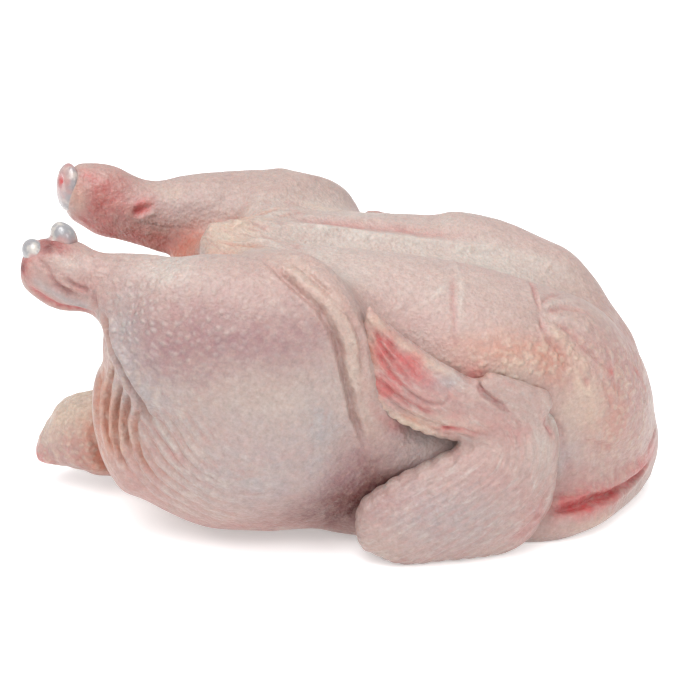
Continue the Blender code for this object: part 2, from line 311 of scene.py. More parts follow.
FLANK_LINES = [
    ([(-34, -60, 127), (-20, -75, 121), (-9, -82, 113), (-2, -84, 102), (1, -85, 88), (4, -82, 72),
      (9, -80, 56), (16, -76, 41)], 1.4, -2.8, "rose", 0.9),
    ([(-31, -52, 126), (-16, -73, 123), (-5, -81, 115), (3, -84, 102), (5, -85, 88), (9, -84, 72),
      (15, -79, 55), (21, -76, 42)], 4.2, 1.2, "fat", 0.5),
    ([(-24, -62, 127), (-11, -74, 122), (0, -81, 113), (7, -82, 103), (9, -84, 89), (13, -82, 74),
      (21, -76, 58), (28, -74, 47)], 1.2, -1.6, "rose", 0.7),
    ([(-12, -68, 123), (-2, -76, 116), (5, -80, 106)], 0.9, -0.9, "fold", 0.4),
    ([(24, -74, 66), (30, -73, 56), (36, -72, 47)], 1.6, 0.9, "grey", 0.6),
    # Painted shade along the wing's contact: a wide shallow band of meat colour and a narrow dark line.
    (ARM_CONTACT, 3.4, -0.6, "meat", 0.8),
    (ARM_CONTACT, 1.4, -1.0, "flesh_and_shade", 1.0),
    ([(8, -84, 88), (10, -83, 76), (16, -80, 66), (26, -73, 57), (39, -70, 51),
      (52, -69, 51)], 1.5, -0.8, "blood", 0.7),
    ([(10, -66, 108), (24, -63, 97), (40, -69, 89), (53, -72, 82)], 1.3, -0.6, "fold", 0.6),
    ([(60, -69, 82), (73, -68, 77), (84, -64, 67), (91, -59, 47), (95, -55, 31),
      (93, -57, 19)], 1.6, -0.9, "rose", 1.0),
]
LEG_LINES = [
    ([(-96, -64, 106), (-93, -69, 99), (-91, -71, 92), (-86, -76, 86), (-80, -77, 75), (-75, -73, 65),
      (-68, -78, 59)],
     1.8, -3.6, "fold", 0.9),
    # The darkest colour in this crease under the drumstick's rear edge is painted shade as well as flesh.
    ([(-94, -68, 100), (-90, -72, 91), (-85, -76, 84), (-79, -76, 74)], 0.8, -0.8, "flesh_and_shade", 0.7),
    ([(-91, -68, 104), (-88, -73, 96), (-83, -77, 88), (-76, -79, 78),
      (-69, -79, 68)], 2.8, 1.8, "grey", 0.5),
    ([(-90, -70, 86), (-93, -63, 73), (-95, -62, 59), (-93, -62, 48),
      (-90, -63, 39)], 1.2, -2.4, "fold", 1.0),
    ([(-86, -74, 82), (-89, -65, 67), (-90, -64, 53), (-89, -64, 44),
      (-84, -65, 36)], 1.2, -2.4, "fold", 1.0),
    ([(-82, -75, 77), (-85, -67, 65), (-86, -66, 56), (-83, -66, 46),
      (-79, -69, 39)], 1.1, -2.0, "fold", 0.9),
    ([(-77, -76, 71), (-81, -69, 62), (-81, -68, 53), (-78, -70, 43),
      (-72, -73, 36)], 1.0, -1.5, "fold", 0.8),
    ([(-91, -67, 78), (-92, -64, 66), (-93, -63, 54), (-91, -63, 44)], 1.7, 1.2, "fat", 0.5),
    ([(-87, -70, 74), (-87, -66, 62), (-88, -65, 50), (-86, -66, 42)], 1.6, 1.2, "fat", 0.5),
    ([(-82, -72, 69), (-83, -68, 58), (-82, -68, 48)], 1.4, 0.9, "fat", 0.4),
    ([(-97, -58, 76), (-99, -59, 62), (-98, -58, 50)], 1.2, -1.4, "fold", 0.8),
    ([(-61, -84, 81), (-53, -87, 84), (-49, -89, 91)], 1.2, -0.7, "meat", 0.8),
    ([(-121, -58, 125), (-116, -61, 121), (-112, -62, 114), (-102, -61, 109)], 1.0, -1.9, "rose", 1.0),
    ([(-117, -58, 127), (-109, -61, 124), (-101, -60, 118)], 2.2, 1.2, "pale", 0.8),
    ([(-112, -60, 120), (-106, -62, 115), (-99, -62, 112)], 0.9, -1.5, "rose", 0.9),
    ([(-93, -56, 122), (-97, -61, 116), (-98, -63, 110), (-97, -64, 105)], 1.0, -1.7, "rose", 0.8),
    ([(-126, -57, 116), (-118, -59, 109), (-109, -58, 104), (-97, -63, 103)], 1.3, -1.1, "blood", 0.9),
    ([(-124, -59, 119), (-116, -61, 113), (-106, -61, 107), (-97, -63, 107)], 1.5, 1.0, "grey", 0.8),
]
NECK_LINES = [
    ([(86, -62, 16), (96, -59, 16), (104, -54, 16), (113, -46, 16), (122, -37, 17), (131, -26, 20),
      (137, -14, 24)],
     1.7, -3.2, "blood", 1.0),
    ([(90, -62, 22), (103, -56, 22), (115, -46, 22), (126, -34, 24), (134, -22, 28)], 2.4, 1.6, "rose", 0.7),
    ([(88, -60, 12), (100, -56, 11), (112, -46, 11), (124, -33, 13)], 1.2, -1.6, "blood", 0.7),
    ([(92, -62, 7), (106, -54, 7), (118, -42, 8)], 2.2, 1.2, "fat", 0.5),
    ([(130, -30, 30), (136, -18, 33), (139, -8, 36)], 1.6, -1.2, "blood", 0.5),
]
TAIL_LINES = [
    ([(-100, -16, 12), (-104, -21, 22), (-105, -21, 32), (-102, -16, 42)], 2.6, -2.6, "fold", 1.0),
    ([(-100, -16, 10), (-103, -20, 20), (-103, -20, 30)], 1.2, -0.8, "blood", 0.7),
    ([(-110, -12, 38), (-116, -14, 32), (-120, -14, 26)], 1.4, -1.4, "fold", 0.7),
    ([(-112, -2, 41), (-119, -6, 36), (-126, -8, 28)], 1.4, -1.4, "rose", 0.6),
    ([(-108, -18, 18), (-116, -17, 14), (-124, -14, 12)], 1.4, -1.2, "rose", 0.8),
]
HAND_LINES = [
    ([(9, -79, 108), (14, -79, 106), (22, -80, 99), (32, -79, 91), (42, -79, 85),
      (51, -79, 79)], 1.7, 0.8, "fat", 0.7),
    ([(9, -79, 104), (9, -79, 92), (12, -79, 78), (18, -80, 68), (28, -80, 61), (40, -80, 56), (51, -79, 52)],
     1.9, 0.9, "fat", 0.9),
    ([(13, -80, 104), (17, -81, 96), (22, -82, 89), (28, -82, 80)], 0.9, -1.4, "blood", 0.9),
    ([(13, -80, 97), (18, -81, 88), (24, -82, 80), (30, -82, 75)], 0.9, -1.2, "blood", 0.9),
    ([(16, -81, 101), (22, -81, 94), (27, -82, 88), (32, -82, 81)], 0.9, -1.2, "blood", 0.7),
    ([(15, -80, 92), (20, -81, 84), (25, -82, 77)], 1.0, 0.8, "rose", 0.7),
    ([(24, -82, 79), (30, -82, 75), (38, -82, 72), (43, -81, 74), (44, -80, 81)], 0.8, -0.8, "rose", 0.8),
    ([(12, -79, 85), (20, -81, 77), (30, -81, 71), (40, -82, 67)], 0.9, -0.9, "blood", 0.6),
    ([(15, -79, 78), (24, -80, 70), (34, -81, 64), (44, -81, 62)], 0.9, -0.9, "rose", 0.8),
    ([(22, -80, 68), (30, -80, 64), (38, -81, 60), (46, -80, 57)], 0.9, -0.7, "fold", 0.6),
    ([(38, -81, 61), (46, -80, 61), (52, -79, 60), (57, -78, 57)], 0.9, -1.2, "blood", 1.0),
    ([(40, -81, 66), (48, -80, 65), (56, -79, 63)], 1.2, 0.6, "pale", 0.4),
]
ARM_LINES = [
    ([(54, -77, 80), (58, -79, 75), (63, -78, 71), (68, -77, 65)], 1.1, -1.8, "rose", 1.0),
    ([(76, -68, 73), (82, -66, 66), (87, -64, 56), (89, -62, 44), (88, -64, 34)], 1.2, 0.7, "pale", 0.6),
    ([(70, -75, 74), (78, -72, 67), (84, -69, 56), (86, -67, 46)], 1.0, -0.7, "blood", 0.6),
    ([(68, -82, 10), (76, -78, 16), (82, -74, 26), (85, -70, 36)], 1.3, -0.8, "rose", 0.7),
    ([(80, -75, 14), (85, -71, 24), (88, -67, 34)], 1.4, 0.7, "pale", 0.5),
    ([(20, -92, 30), (16, -91, 24), (14, -90, 16)], 1.2, -0.6, "rose", 0.4),
]

# The body swells to meet each wing: middle (out is positive here), reach and height of the swellings.
UNDER_WING = [
    ((40, 64, 80), (32, 20, 18), 6.0),
    ((30, 70, 46), (26, 20, 14), 3.5),
    ((66, 62, 77), (18, 20, 14), 3.5),
    ((84, 60, 40), (16, 20, 24), 3.5),
]

# Other places on the skin: a middle and a reach, with |out| where both sides have them.  SIDE_ON drops "out".
SIDE_ON = (1, 0, 1)
TAIL_FAT = ((-120, 0, 27), (20, 26, 20))
FLAP = ((-34, 0, 119), (24, 38, 9))
FLAP_TIP = ((-52, 0, 119), (12, 18, 9))
BREAST_PIT = ((82, -50, 97), 4.5)
LEG_CROOK = ((-98, -60, 92), (8, 14, 9))
THIGH_REAR = ((-68, 0, 46), (24, 1, 26))
DRUM_SKIN = ((-58, 0, 100), (46, 1, 26))
ANKLE_SCALES = ((-84, 0, 108), (13, 1, 18))
DRUM_GLOSS = ((-68, -66, 122), (14, 16, 8))
PIMPLES = [((76, 60, 82), (26, 20, 9)), ((118, 36, 56), (20, 30, 30))]
KNEE_MIDDLE = (-31, 80)
RING_SPACING = 4.3

# A stain is: its kind, middle, reach along the three axes, and how much.
BODY_STAINS = [
    ("meat", (-55, -86, 98), (30, 22, 15), 0.95),
    ("meat", (-25, -88, 100), (20, 20, 13), 0.75),
    ("meat", (-75, -76, 92), (14, 20, 18), 0.6),
    ("grey", (-84, -72, 95), (9, 16, 20), 0.7),
    ("grey", (-74, -78, 76), (13, 16, 12), 0.6),
    # A pale patch on the drumstick's top, under the gloss: paler skin and a painted highlight.
    ("pale", (-66, -64, 124), (16, 20, 7), 0.6),
    ("pale", (14, -22, 114), (64, 36, 22), 0.6),
    ("pale", (-14, -42, 113), (24, 18, 9), 0.4),
    ("pale", (72, -16, 104), (34, 30, 20), 0.5),
    ("grey", (-34, -90, 60), (44, 20, 36), 0.45),
    # Two small bright spots on the drumstick's top are painted highlights.
    ("pale", (-74, -60, 122), (4, 6, 2.5), 0.9),
    ("pale", (-67, -66, 121), (5, 5, 2.5), 0.9),
    ("meat", (-10, -84, 30), (30, 20, 12), 0.35),
    ("fat", (-30, -88, 78), (27, 20, 12), 0.5),
    ("grey", (-8, -86, 64), (9, 16, 20), 0.6),
    ("grey", (-34, -88, 42), (22, 20, 10), 0.45),
    # Painted shade under the wing's arm root, where it meets the body by the table: meat colour and the
    # darkest colour.
    ("meat", (4, -76, 38), (16, 18, 18), 0.9),
    ("flesh_and_shade", (0, -74, 21), (24, 18, 12), 1.0),
    ("flesh_and_shade", (14, -72, 36), (8, 12, 16), 0.6),
    ("rose", (-30, -70, 14), (60, 26, 7), 0.7),
    ("fold", (-95, -60, 72), (8, 14, 18), 0.6),
    ("fat", (-93, -62, 62), (8, 14, 16), 0.35),
    ("fold", (-97, -54, 46), (7, 14, 16), 0.6),
    ("fold", (-40, -30, 111), (18, 14, 4), 1.0),
    ("blood", (54, -66, 79), (4, 6, 4), 0.7),
    ("blood", (111, -50, 73), (2.5, 4, 2.5), 0.9),
    ("rose", (98, -52, 76), (18, 16, 20), 0.35),
    ("rose", (108, -48, 14), (20, 16, 8), 0.5),
    ("rose", (-80, -64, 30), (16, 16, 14), 0.5),
    ("fold", (66, -62, 86), (22, 14, 6), 0.5),
    ("fold", (84, -60, 80), (10, 12, 8), 0.5),
    ("fat", (70, -66, 80), (16, 14, 5), 0.5),
    ("fat", (100, -58, 62), (10, 12, 16), 0.6),
    ("rose", (118, -42, 60), (16, 20, 26), 0.5),
    ("rose", (126, -20, 70), (14, 26, 20), 0.4),
    ("fold", (112, -50, 50), (10, 12, 12), 0.4),
    ("grey", (92, -60, 38), (8, 10, 12), 0.6),
    ("blood", (104, -54, 17), (22, 14, 4), 0.8),
    ("blood", (132, -26, 24), (10, 14, 6), 0.7),
    ("rose", (100, -58, 24), (14, 12, 6), 0.7),
    ("rose", (20, -66, 98), (26, 14, 16), 0.35),
    ("rose", (40, 26, 106), (70, 16, 12), 0.5),
    ("grey", (30, -73, 48), (12, 10, 14), 0.5),
    ("rose", (24, -73, 60), (14, 10, 14), 0.5),
    ("fat", (-50, -10, 118), (14, 20, 8), 0.7),
    ("fat", (-112, 0, 42), (14, 20, 10), 0.9),
    ("fat", (-124, -6, 30), (8, 12, 10), 0.6),
    ("fold", (-103, -20, 26), (9, 12, 20), 1.0),
    ("rose", (-112, -14, 22), (16, 14, 12), 0.8),
    ("blood", (-133, -2, 15), (6, 10, 6), 0.6),
    ("cavity", (-42, 0, 70), (38, 26, 20), 1.0),
]
FAR_LEG_STAINS = [
    ("bare", (-105, 39, 121), (13, 16, 13), 1.0),
    ("bare", (-112, 41, 109), (12, 14, 6), 0.9),
    ("bare", (-96, 43, 105), (16, 14, 7), 0.9),
    ("bare", (-76, 40, 102), (18, 16, 7), 0.7),
    ("fold", (-100, 42, 103), (24, 16, 6), 0.9),
    ("fold", (-70, 34, 99), (24, 22, 9), 1.0),
    ("blood", (-87, 37, 118), (5, 8, 3), 0.9),
    ("blood", (-111, 44, 132), (3, 6, 3), 0.8),
    ("meat", (-62, 44, 110), (24, 20, 13), 0.45),
    ("fat", (-118, 39, 123), (3, 10, 9), 0.9),
    ("fat", (-78, 36, 125), (5, 8, 3), 0.8),
]
FAR_LEG_LINES = [
    ([(-93, 37, 115), (-87, 37, 118), (-82, 38, 120)], 1.5, -2.0, "blood", 1.0),
    ([(-120, 44, 110), (-104, 42, 105), (-95, 44, 102), (-86, 42, 100), (-77, 40, 98), (-64, 32, 97)],
     3.0, 1.6, "fold", 0.7),
    ([(-119, 40, 115), (-106, 40, 110), (-93, 42, 108), (-80, 40, 108)], 1.3, -1.4, "blood", 0.6),
    ([(-115, 44, 133), (-116, 40, 127), (-118, 39, 119)], 1.3, -1.2, "blood", 0.5),
]
NEAR_LEG_STAINS = [
    ("rose", (-110, -58, 115), (14, 14, 10), 0.5),
    ("pale", (-106, -60, 121), (6, 8, 4), 0.6),
    ("blood", (-126, -54, 122), (4, 8, 5), 0.8),
    ("blood", (-116, -54, 130), (8, 8, 4.5), 0.8),
    # The darkest colour in the pits under the joint's wheels is painted shade.
    ("flesh_and_shade", (-116, -54, 130), (5, 8, 3), 1.0),
    ("flesh_and_shade", (-127, -54, 122), (3, 7, 3), 0.9),
]
HAND_STAINS = [
    ("blood", (18, -82, 96), (4, 9, 7), 0.6),
    ("blood", (26, -82, 87), (6, 9, 4), 0.8),
    ("blood", (33, -82, 80), (6, 9, 3), 0.55),
    ("blood", (15, -81, 79), (5, 9, 4), 0.6),
    ("blood", (20, -81, 75), (6, 9, 3), 0.8),
    ("rose", (26, -82, 80), (18, 9, 14), 0.9),
    ("pale", (36, -80, 84), (18, 9, 6), 0.6),
    ("grey", (42, -80, 79), (9, 9, 3), 0.7),
    ("rose", (48, -80, 62), (12, 9, 6), 0.6),
    ("fold", (12, -79, 88), (4, 9, 18), 0.6),
    ("fat", (30, -80, 61), (20, 9, 4), 0.8),
]
ARM_STAINS = [
    ("fold", (57, -74, 85), (5, 8, 4), 0.9),
    ("rose", (68, -78, 58), (14, 10, 7), 0.6),
    ("grey", (40, -90, 26), (34, 14, 18), 0.6),
    ("meat", (26, -90, 26), (26, 14, 20), 0.28),
    ("fold", (26, -90, 26), (22, 14, 20), 0.12),
    ("rose", (80, -76, 18), (10, 10, 12), 0.8),
    ("rose", (22, -92, 32), (12, 10, 5), 0.6),
    ("fat", (18, -92, 14), (10, 10, 8), 0.4),
    ("rose", (60, -82, 40), (24, 10, 8), 0.4),
    ("pale", (80, -72, 50), (8, 10, 14), 0.5),
]
STAINS = ("pale", "rose", "meat", "fat", "fold", "blood", "grey", "flesh_and_shade", "bare", "cavity")


class ChickenSizes(bpy.types.PropertyGroup):
    """How fine the bird's meshes are and how deep its skin is marked."""

    body_grain: FloatProperty(
        name="Body grain", description="Distance between the points of the body's skin", default=0.00108,
        min=0.0008, max=0.006, subtype="DISTANCE", unit="LENGTH",
    )
    wing_grain: FloatProperty(
        name="Wing grain", description="Distance between the points of a wing's skin", default=0.00062,
        min=0.0005, max=0.004, subtype="DISTANCE", unit="LENGTH",
    )
    joint_grain: FloatProperty(
        name="Joint grain", description="Distance between the points of a joint end", default=0.0004,
        min=0.0003, max=0.002, subtype="DISTANCE", unit="LENGTH",
    )
    ripple_depth: FloatProperty(
        name="Ripple depth", description="Depth of the fine wrinkles that run with the skin", default=0.00042,
        min=0.0, max=0.002, subtype="DISTANCE", unit="LENGTH",
    )
    follicle_depth: FloatProperty(
        name="Follicle height", description="Height of the bumps that feathers left", default=0.00045,
        min=0.0, max=0.002, subtype="DISTANCE", unit="LENGTH",
    )


def colour_choice(name, description, default):
    return FloatVectorProperty(
        name=name, description=description, default=default, subtype="COLOR", min=0.0, max=1.0
    )


class ChickenColours(bpy.types.PropertyGroup):
    """Colours of the bird, as linear light."""

    plain: colour_choice("Skin", "Skin over a little fat", (0.355, 0.262, 0.232))
    flush: colour_choice("Flushed skin", "Thinner skin, with flesh behind it", (0.335, 0.218, 0.197))
    # Pale skin also paints highlights: the spots on the drumstick's top and the glints on the follicle tips.
    pale: colour_choice("Pale skin", "Stretched skin and dry ridges", (0.43, 0.388, 0.35))
    rose: colour_choice("Rosy skin", "Skin with blood behind it", (0.35, 0.168, 0.155))
    # Meat colour is also painted shade: a band of it along the line where the wing's arm lies on the body, and
    # a patch under the arm's root.
    meat: colour_choice("Meat", "Dark meat through thin skin", (0.235, 0.118, 0.122))
    fat: colour_choice("Fat", "Fat through or on the skin", (0.44, 0.338, 0.268))
    fold: colour_choice("Folds", "Orange fat in the folds", (0.385, 0.155, 0.1))
    blood: colour_choice("Blood", "Bruises and blood spots", (0.4, 0.06, 0.06))
    grey: colour_choice("Grey skin", "Skin over sinew and bone", (0.29, 0.258, 0.256))
    # The darkest colour is painted shade as much as flesh: it darkens the deepest creases, the pits by the
    # hock, the grooves of the joint caps and the lines where the wing lies on the body.
    flesh_and_shade: colour_choice("Dark folds", "Flesh in the deepest folds", (0.105, 0.024, 0.021))
    bare: colour_choice("Bared meat", "Meat with no skin over it", (0.33, 0.09, 0.08))
    cavity: colour_choice("Inside", "The lining of the hollow body", (0.19, 0.045, 0.04))
    gristle: colour_choice("Gristle", "The caps of the joints", (0.225, 0.218, 0.226))


# ---------------------------------------------------------------- shapes
def unit(vectors):
    return vectors / np.linalg.norm(vectors, axis=-1, keepdims=True)


def smooth_step(values, low, high):
    """0 below low, 1 above high and an s-shaped 3t^2 - 2t^3 between them."""
    t = np.clip((values - low) / (high - low), 0, 1)
    return t * t * (3 - 2 * t)


def eased(stations, steps):
    """A smooth curve through every station: each span is a cubic that leaves and arrives along the line
    between the stations on either side."""
    rows = np.asarray(stations, float)
    rows = np.vstack([2 * rows[0] - rows[1], rows, 2 * rows[-1] - rows[-2]])
    t = np.linspace(0, 1, steps, endpoint=False)[:, None]
    spans = []
    for before, start, end, after in zip(rows, rows[1:], rows[2:], rows[3:]):
        bend = 2 * before - 5 * start + 4 * end - after
        twist = -before + 3 * start - 3 * end + after
        spans.append(start + 0.5 * ((end - before) * t + bend * t**2 + twist * t**3))
    return np.vstack(spans + [rows[-2:-1]])


def muscle(stations, ends, facing=None, up=UPWARD, sides=36, steps=8, caps=6):
    """An ellipse carried along the stations: point = middle + side * half width * cos + rise * half height
    * sin.  Both ends are rounded off by a quarter ellipse of the given lengths."""
    rows = eased(stations, steps)
    middle, sizes = rows[:, :3], rows[:, 3:]
    tangent = unit(np.gradient(middle, axis=0))
    turn = np.linspace(0, np.pi / 2, caps + 1)[1:, None]
    shrink = np.maximum(np.cos(turn), 0.02)
    first = middle[0] - tangent[0] * ends[0] * np.sin(turn)
    last = middle[-1] + tangent[-1] * ends[1] * np.sin(turn)
    middle = np.vstack([first[::-1], middle, last])
    sizes = np.vstack([(sizes[0] * shrink)[::-1], sizes, sizes[-1] * shrink])
    tangent = np.pad(tangent, ((caps, caps), (0, 0)), mode="edge")
    if facing is not None:
        tangent = np.broadcast_to(np.asarray(facing), tangent.shape)
    side = unit(np.cross(up, tangent))
    rise = np.cross(tangent, side)
    angle = np.linspace(0, 2 * np.pi, sides, endpoint=False)[None, :, None]
    ring = side[:, None] * sizes[:, None, :1] * np.cos(angle)
    ring = ring + rise[:, None] * sizes[:, None, 1:] * np.sin(angle)
    return tube(middle[:, None] + ring)


def tube(rings):
    """(points, faces) of closed rings joined one to the next, with both ends filled."""
    count, sides = rings.shape[:2]
    start = np.arange(count - 1)[:, None] * sides
    here = np.arange(sides)[None]
    after = (here + 1) % sides
    walls = np.stack([start + here, start + after, start + sides + after, start + sides + here], -1)
    floor = list(range(sides))[::-1]
    lid = list(range((count - 1) * sides, count * sides))
    return rings.reshape(-1, 3), walls.reshape(-1, 4).tolist() + [floor, lid]


def mirrored(shape):
    points, faces = shape
    return points * (1, -1, 1), [face[::-1] for face in faces]


def joined(shapes):
    points, faces, count = [], [], 0
    for some, their in shapes:
        points.append(some)
        faces += [[index + count for index in face] for face in their]
        count += len(some)
    return np.vstack(points), faces


def ball(middle, reach, lengthwise, rings=16, sides=24):
    """A rounded body about `middle`: `reach` is its half sizes along `lengthwise` and the two ways across it,
    and point = middle - axis * cos(down) + (side * cos(round) + rise * sin(round)) * sin(down)."""
    axis = unit(np.asarray(lengthwise, float))
    side = unit(np.cross(UPWARD, axis))
    rise = np.cross(axis, side)
    down = np.linspace(0, np.pi, rings)[:, None, None]
    round_it = np.linspace(0, 2 * np.pi, sides, endpoint=False)[None, :, None]
    across = np.maximum(np.sin(down), 0.01)
    points = (
        -axis * reach[0] * np.cos(down)
        + side * reach[1] * across * np.cos(round_it)
        + rise * reach[2] * across * np.sin(round_it)
    )
    return tube(np.asarray(middle) + points)


def cloud(places, size, seed, octaves=3):
    """Smooth random values from -1 to 1: random numbers on a cubic lattice of the given size, eased from
    corner to corner, with finer lattices of half the size and strength added."""
    total = np.zeros(len(places))
    for octave in range(octaves):
        table = np.random.default_rng(seed * 10 + octave).uniform(-1, 1, (32, 32, 32))
        scaled = places * 2**octave / size + 7.3
        cell = np.floor(scaled).astype(int)
        part = scaled - cell
        part = part * part * (3 - 2 * part)
        for corner in np.ndindex(2, 2, 2):
            weight = np.prod(np.where(corner, part, 1 - part), axis=1)
            at = (cell + corner) % 32
            total += weight * table[at[:, 0], at[:, 1], at[:, 2]] / 2**octave
    return total / (2 - 0.5 ** (octaves - 1))


def blob(places, middle, reach):
    """1 at the middle and exp(-q^2) away from it, q being the distance to the middle in reaches."""
    q = (places - middle) / reach
    return np.exp(-(q * q).sum(-1))


def nearest(places, path):
    """For every place: its distance to a path, how far along the path the nearest spot lies from 0 to 1, and
    the way from that spot to the place."""
    path = np.asarray(path, float)
    best = np.full(len(places), np.inf)
    along = np.zeros(len(places))
    offset = np.zeros((len(places), 3))
    for index, (start, end) in enumerate(zip(path, path[1:])):
        span = end - start
        t = np.clip((places - start) @ span / (span @ span), 0, 1)
        away = places - start - t[:, None] * span
        distance = np.einsum("ij,ij->i", away, away)
        closer = distance < best
        best[closer] = distance[closer]
        along[closer] = (index + t[closer]) / (len(path) - 1)
        offset[closer] = away[closer]
    return np.sqrt(best), along, offset


def mesh_from(shape):
    points, faces = shape
    mesh = bpy.data.meshes.new("raw")
    mesh.from_pydata(points.tolist(), [], faces)
    mesh.update()
    return mesh


def worked(mesh, *modifiers):
    """The mesh after modifiers, each given as its type and its settings."""
    holder = bpy.data.objects.new("raw", mesh)
    bpy.context.scene.collection.objects.link(holder)
    for kind, settings in modifiers:
        modifier = holder.modifiers.new(kind.lower(), kind)
        for name, value in settings.items():
            setattr(modifier, name, value)
    graph = bpy.context.evaluated_depsgraph_get()
    made = bpy.data.meshes.new_from_object(holder.evaluated_get(graph))
    bpy.data.objects.remove(holder)
    bpy.data.meshes.remove(mesh)
    return made


def fused(mesh, grain):
    return worked(mesh, ("REMESH", {"mode": "VOXEL", "voxel_size": grain}))


class Skin:
    """A closed mesh as arrays, in millimetres and the bird's own frame, with what shapes and stains it."""

    def __init__(self, mesh):
        self.mesh = mesh
        count = len(mesh.vertices)
        points = np.empty(count * 3, np.float32)
        mesh.vertices.foreach_get("co", points)
        self.points = points.reshape(-1, 3).astype(float)
        edges = np.empty(len(mesh.edges) * 2, np.int32)
        mesh.edges.foreach_get("vertices", edges)
        self.start, self.end = edges.reshape(-1, 2).T
        self.share = np.bincount(edges, minlength=count)[:, None]
        self.marks = {}
        self.refresh()

    def refresh(self):
        """Put the points back in the mesh and read the normals from it."""
        self.mesh.vertices.foreach_set("co", self.points.astype(np.float32).ravel())
        self.mesh.update()
        found = np.empty(len(self.points) * 3, np.float32)
        self.mesh.vertex_normals.foreach_get("vector", found)
        self.normal = found.reshape(-1, 3).astype(float)
        self.rest = self.points.copy()

    def pull(self):
        """The way from each point to the middle of its neighbours."""
        count = len(self.points)
        total = [
            np.bincount(self.start, self.points[self.end, axis], count)
            + np.bincount(self.end, self.points[self.start, axis], count)
            for axis in range(3)
        ]
        return np.stack(total, -1) / self.share - self.points

    def stretch(self, passes):
        """Pull the skin out across hollows: a point only moves out, toward the middle of its neighbours."""
        for turn in range(passes):
            if turn % 8 == 0:
                self.refresh()
            step = self.pull()
            lift = (step * self.normal).sum(-1, keepdims=True)
            self.points += 0.8 * np.maximum(lift, 0) * self.normal + 0.3 * (step - lift * self.normal)
        self.refresh()

    def soften(self, passes):
        for _ in range(passes):
            self.points += 0.5 * self.pull()
        self.refresh()

    def raise_by(self, height):
        self.points += height[:, None] * self.normal

    def stain(self, kind, amount):
        """Add a stain, each new one covering only what the last left clear."""
        held = self.marks.get(kind, np.zeros(len(self.points)))
        self.marks[kind] = 1 - (1 - held) * (1 - np.clip(amount, 0, 1))

    def draw(self, lines, seed, side=1, strength=1.0, wander=1.0):
        """Raise a ridge or press a crease on each line.  A ridge is exp(-(distance / width)^2); a crease is
        the same turned down, with a lip of a third of its depth on either side.  Both fade at their ends."""
        sway = np.stack([cloud(self.rest, 9, seed + axis, 2) for axis in range(3)], -1) * wander
        for path, width, height, kind, amount in lines:
            path = eased(path, 4) * (1, side, 1)
            reach = 5 * width + 2
            close = np.all((self.rest > path.min(0) - reach) & (self.rest < path.max(0) + reach), axis=1)
            distance, along, _ = nearest(self.rest[close] + sway[close], path)
            fade = smooth_step(along, 0, 0.18) * smooth_step(1 - along, 0, 0.25)
            core = np.exp(-((distance / width) ** 2)) * fade
            lip = np.exp(-(((distance - 2.1 * width) / width) ** 2)) * fade
            rise = height * core - (0.33 * height * lip if height < 0 else 0)
            self.points[close] += (rise * strength)[:, None] * self.normal[close]
            stained = np.zeros(len(self.rest))
            stained[close] = np.exp(-((distance / (1.25 * width)) ** 2)) * fade * amount * strength
            self.stain(kind, stained)

    def spill(self, stains, seed, side=1, strength=1.0):
        """Add stains with ragged edges: each is a blob, after every place is moved by a random drift."""
        drift = np.stack([cloud(self.rest, 16, seed + axis, 3) for axis in range(3)], -1) * 5
        for kind, middle, reach, amount in stains:
            spread = blob(self.rest + drift, np.multiply(middle, (1, side, 1)), reach)
            self.stain(kind, spread * amount * strength)

    def finished(self, name, material, grid=None):
        """The mesh as a piece of the scene, in metres in the frame's place, with its stains as attributes."""
        placed = self.points - (BIRD_MIDDLE, 0, TABLE_SINK)
        placed[:, 2] = np.maximum(placed[:, 2], 0)
        self.mesh.vertices.foreach_set("co", (placed * MILLIMETRE).astype(np.float32).ravel())
        for kind, amount in self.marks.items():
            layer = self.mesh.attributes.new(kind, "FLOAT", "POINT")
            layer.data.foreach_set("value", amount.astype(np.float32))
        if grid is not None:
            layer = self.mesh.attributes.new("grid", "FLOAT_VECTOR", "POINT")
            layer.data.foreach_set("vector", grid.astype(np.float32).ravel())
        self.mesh.update()
        triangles = sum(len(polygon.vertices) - 2 for polygon in self.mesh.polygons)
        mesh = self.mesh
        if triangles > MOST_TRIANGLES:
            mesh = worked(
                mesh, ("TRIANGULATE", {}), ("DECIMATE", {"ratio": MOST_TRIANGLES / triangles})
            )
        mesh.name = name
        mesh.shade_smooth()
        mesh.materials.clear()
        mesh.materials.append(material)
        made = bpy.data.objects.new(name, mesh)
        bpy.context.scene.collection.objects.link(made)
        return made


# ---------------------------------------------------------------- finishes
class Wire:
    """A socket in a finish, with the arithmetic that adds Math nodes to it."""

    def __init__(self, finish, socket):
        self.finish = finish
        self.socket = socket

    def maths(self, operation, *values, clamp=False):
        sockets = dict(zip(("Value", "Value_001", "Value_002"), values))
        return self.finish.node("ShaderNodeMath", {"operation": operation, "use_clamp": clamp}, sockets)

    def __add__(self, other):
        return self.maths("ADD", self, other)

    __radd__ = __add__

    def __mul__(self, other):
        return self.maths("MULTIPLY", self, other)

    __rmul__ = __mul__

    def __sub__(self, other):
        return self.maths("SUBTRACT", self, other)

    def __rsub__(self, other):
        return self.maths("SUBTRACT", other, self)

    def unsigned(self):
        return self.maths("ABSOLUTE", self)

    def clamped(self):
        return self.maths("ADD", self, 0.0, clamp=True)


